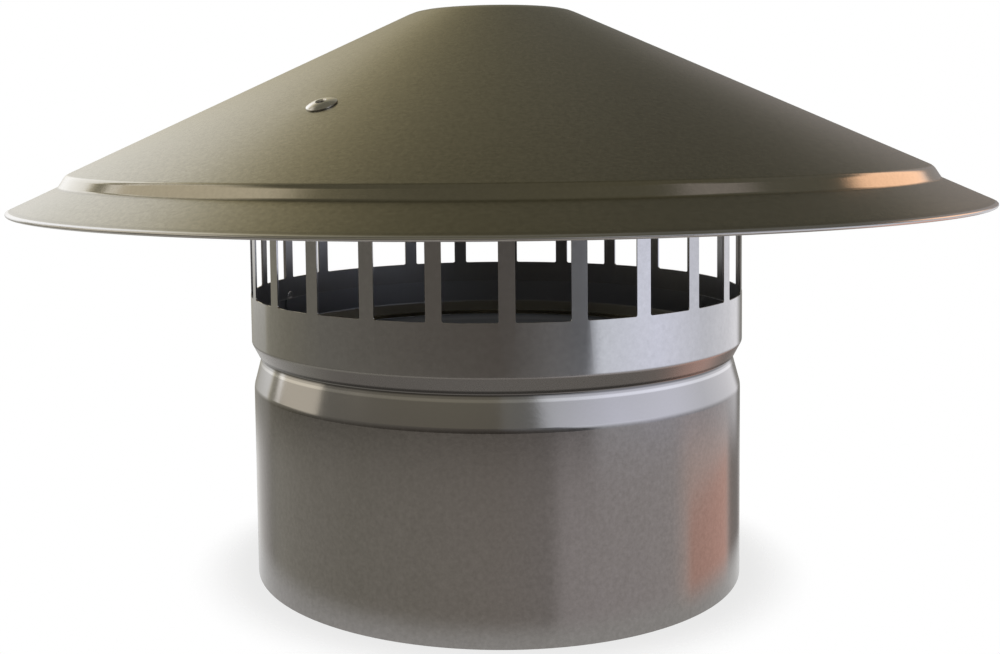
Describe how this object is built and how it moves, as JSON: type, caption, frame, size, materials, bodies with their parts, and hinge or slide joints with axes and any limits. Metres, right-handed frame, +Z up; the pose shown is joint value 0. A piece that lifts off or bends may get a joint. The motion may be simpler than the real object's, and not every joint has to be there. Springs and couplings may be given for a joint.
{
  "type": "flue rain cap",
  "caption": "Sheet-steel rain cap for a round flue: shallow conical hood with a pressed step and rolled rim, over a windowed collar rolled onto a plain beaded spigot.",
  "frame": {"origin": "centre of the spigot's lower edge, on the flue's axis", "axes": "+Z up the flue's axis towards the hood's crown, -Y the side the picture shows"},
  "size_m": [0.289, 0.289, 0.1711],
  "materials": {
    "hood_sheet": "satin stainless sheet",
    "collar_sheet": "polished stainless sheet",
    "spigot_sheet": "fine-brushed stainless sheet",
    "bracket_sheet": "plain rolled stainless strip",
    "rivet_flange": "bright formed rivet",
    "mandrel_steel": "broken mandrel stub"
  },
  "bodies": {
    "root": {"hood": "hood_sheet", "window_collar": "collar_sheet", "spigot": "spigot_sheet", "hood_bracket_1": "bracket_sheet", "rivet_body_1": "rivet_flange", "rivet_mandrel_1": "mandrel_steel", "hood_bracket_2": "bracket_sheet", "rivet_body_2": "rivet_flange", "rivet_mandrel_2": "mandrel_steel", "hood_bracket_3": "bracket_sheet", "rivet_body_3": "rivet_flange", "rivet_mandrel_3": "mandrel_steel"}
  },
  "joints": []
}
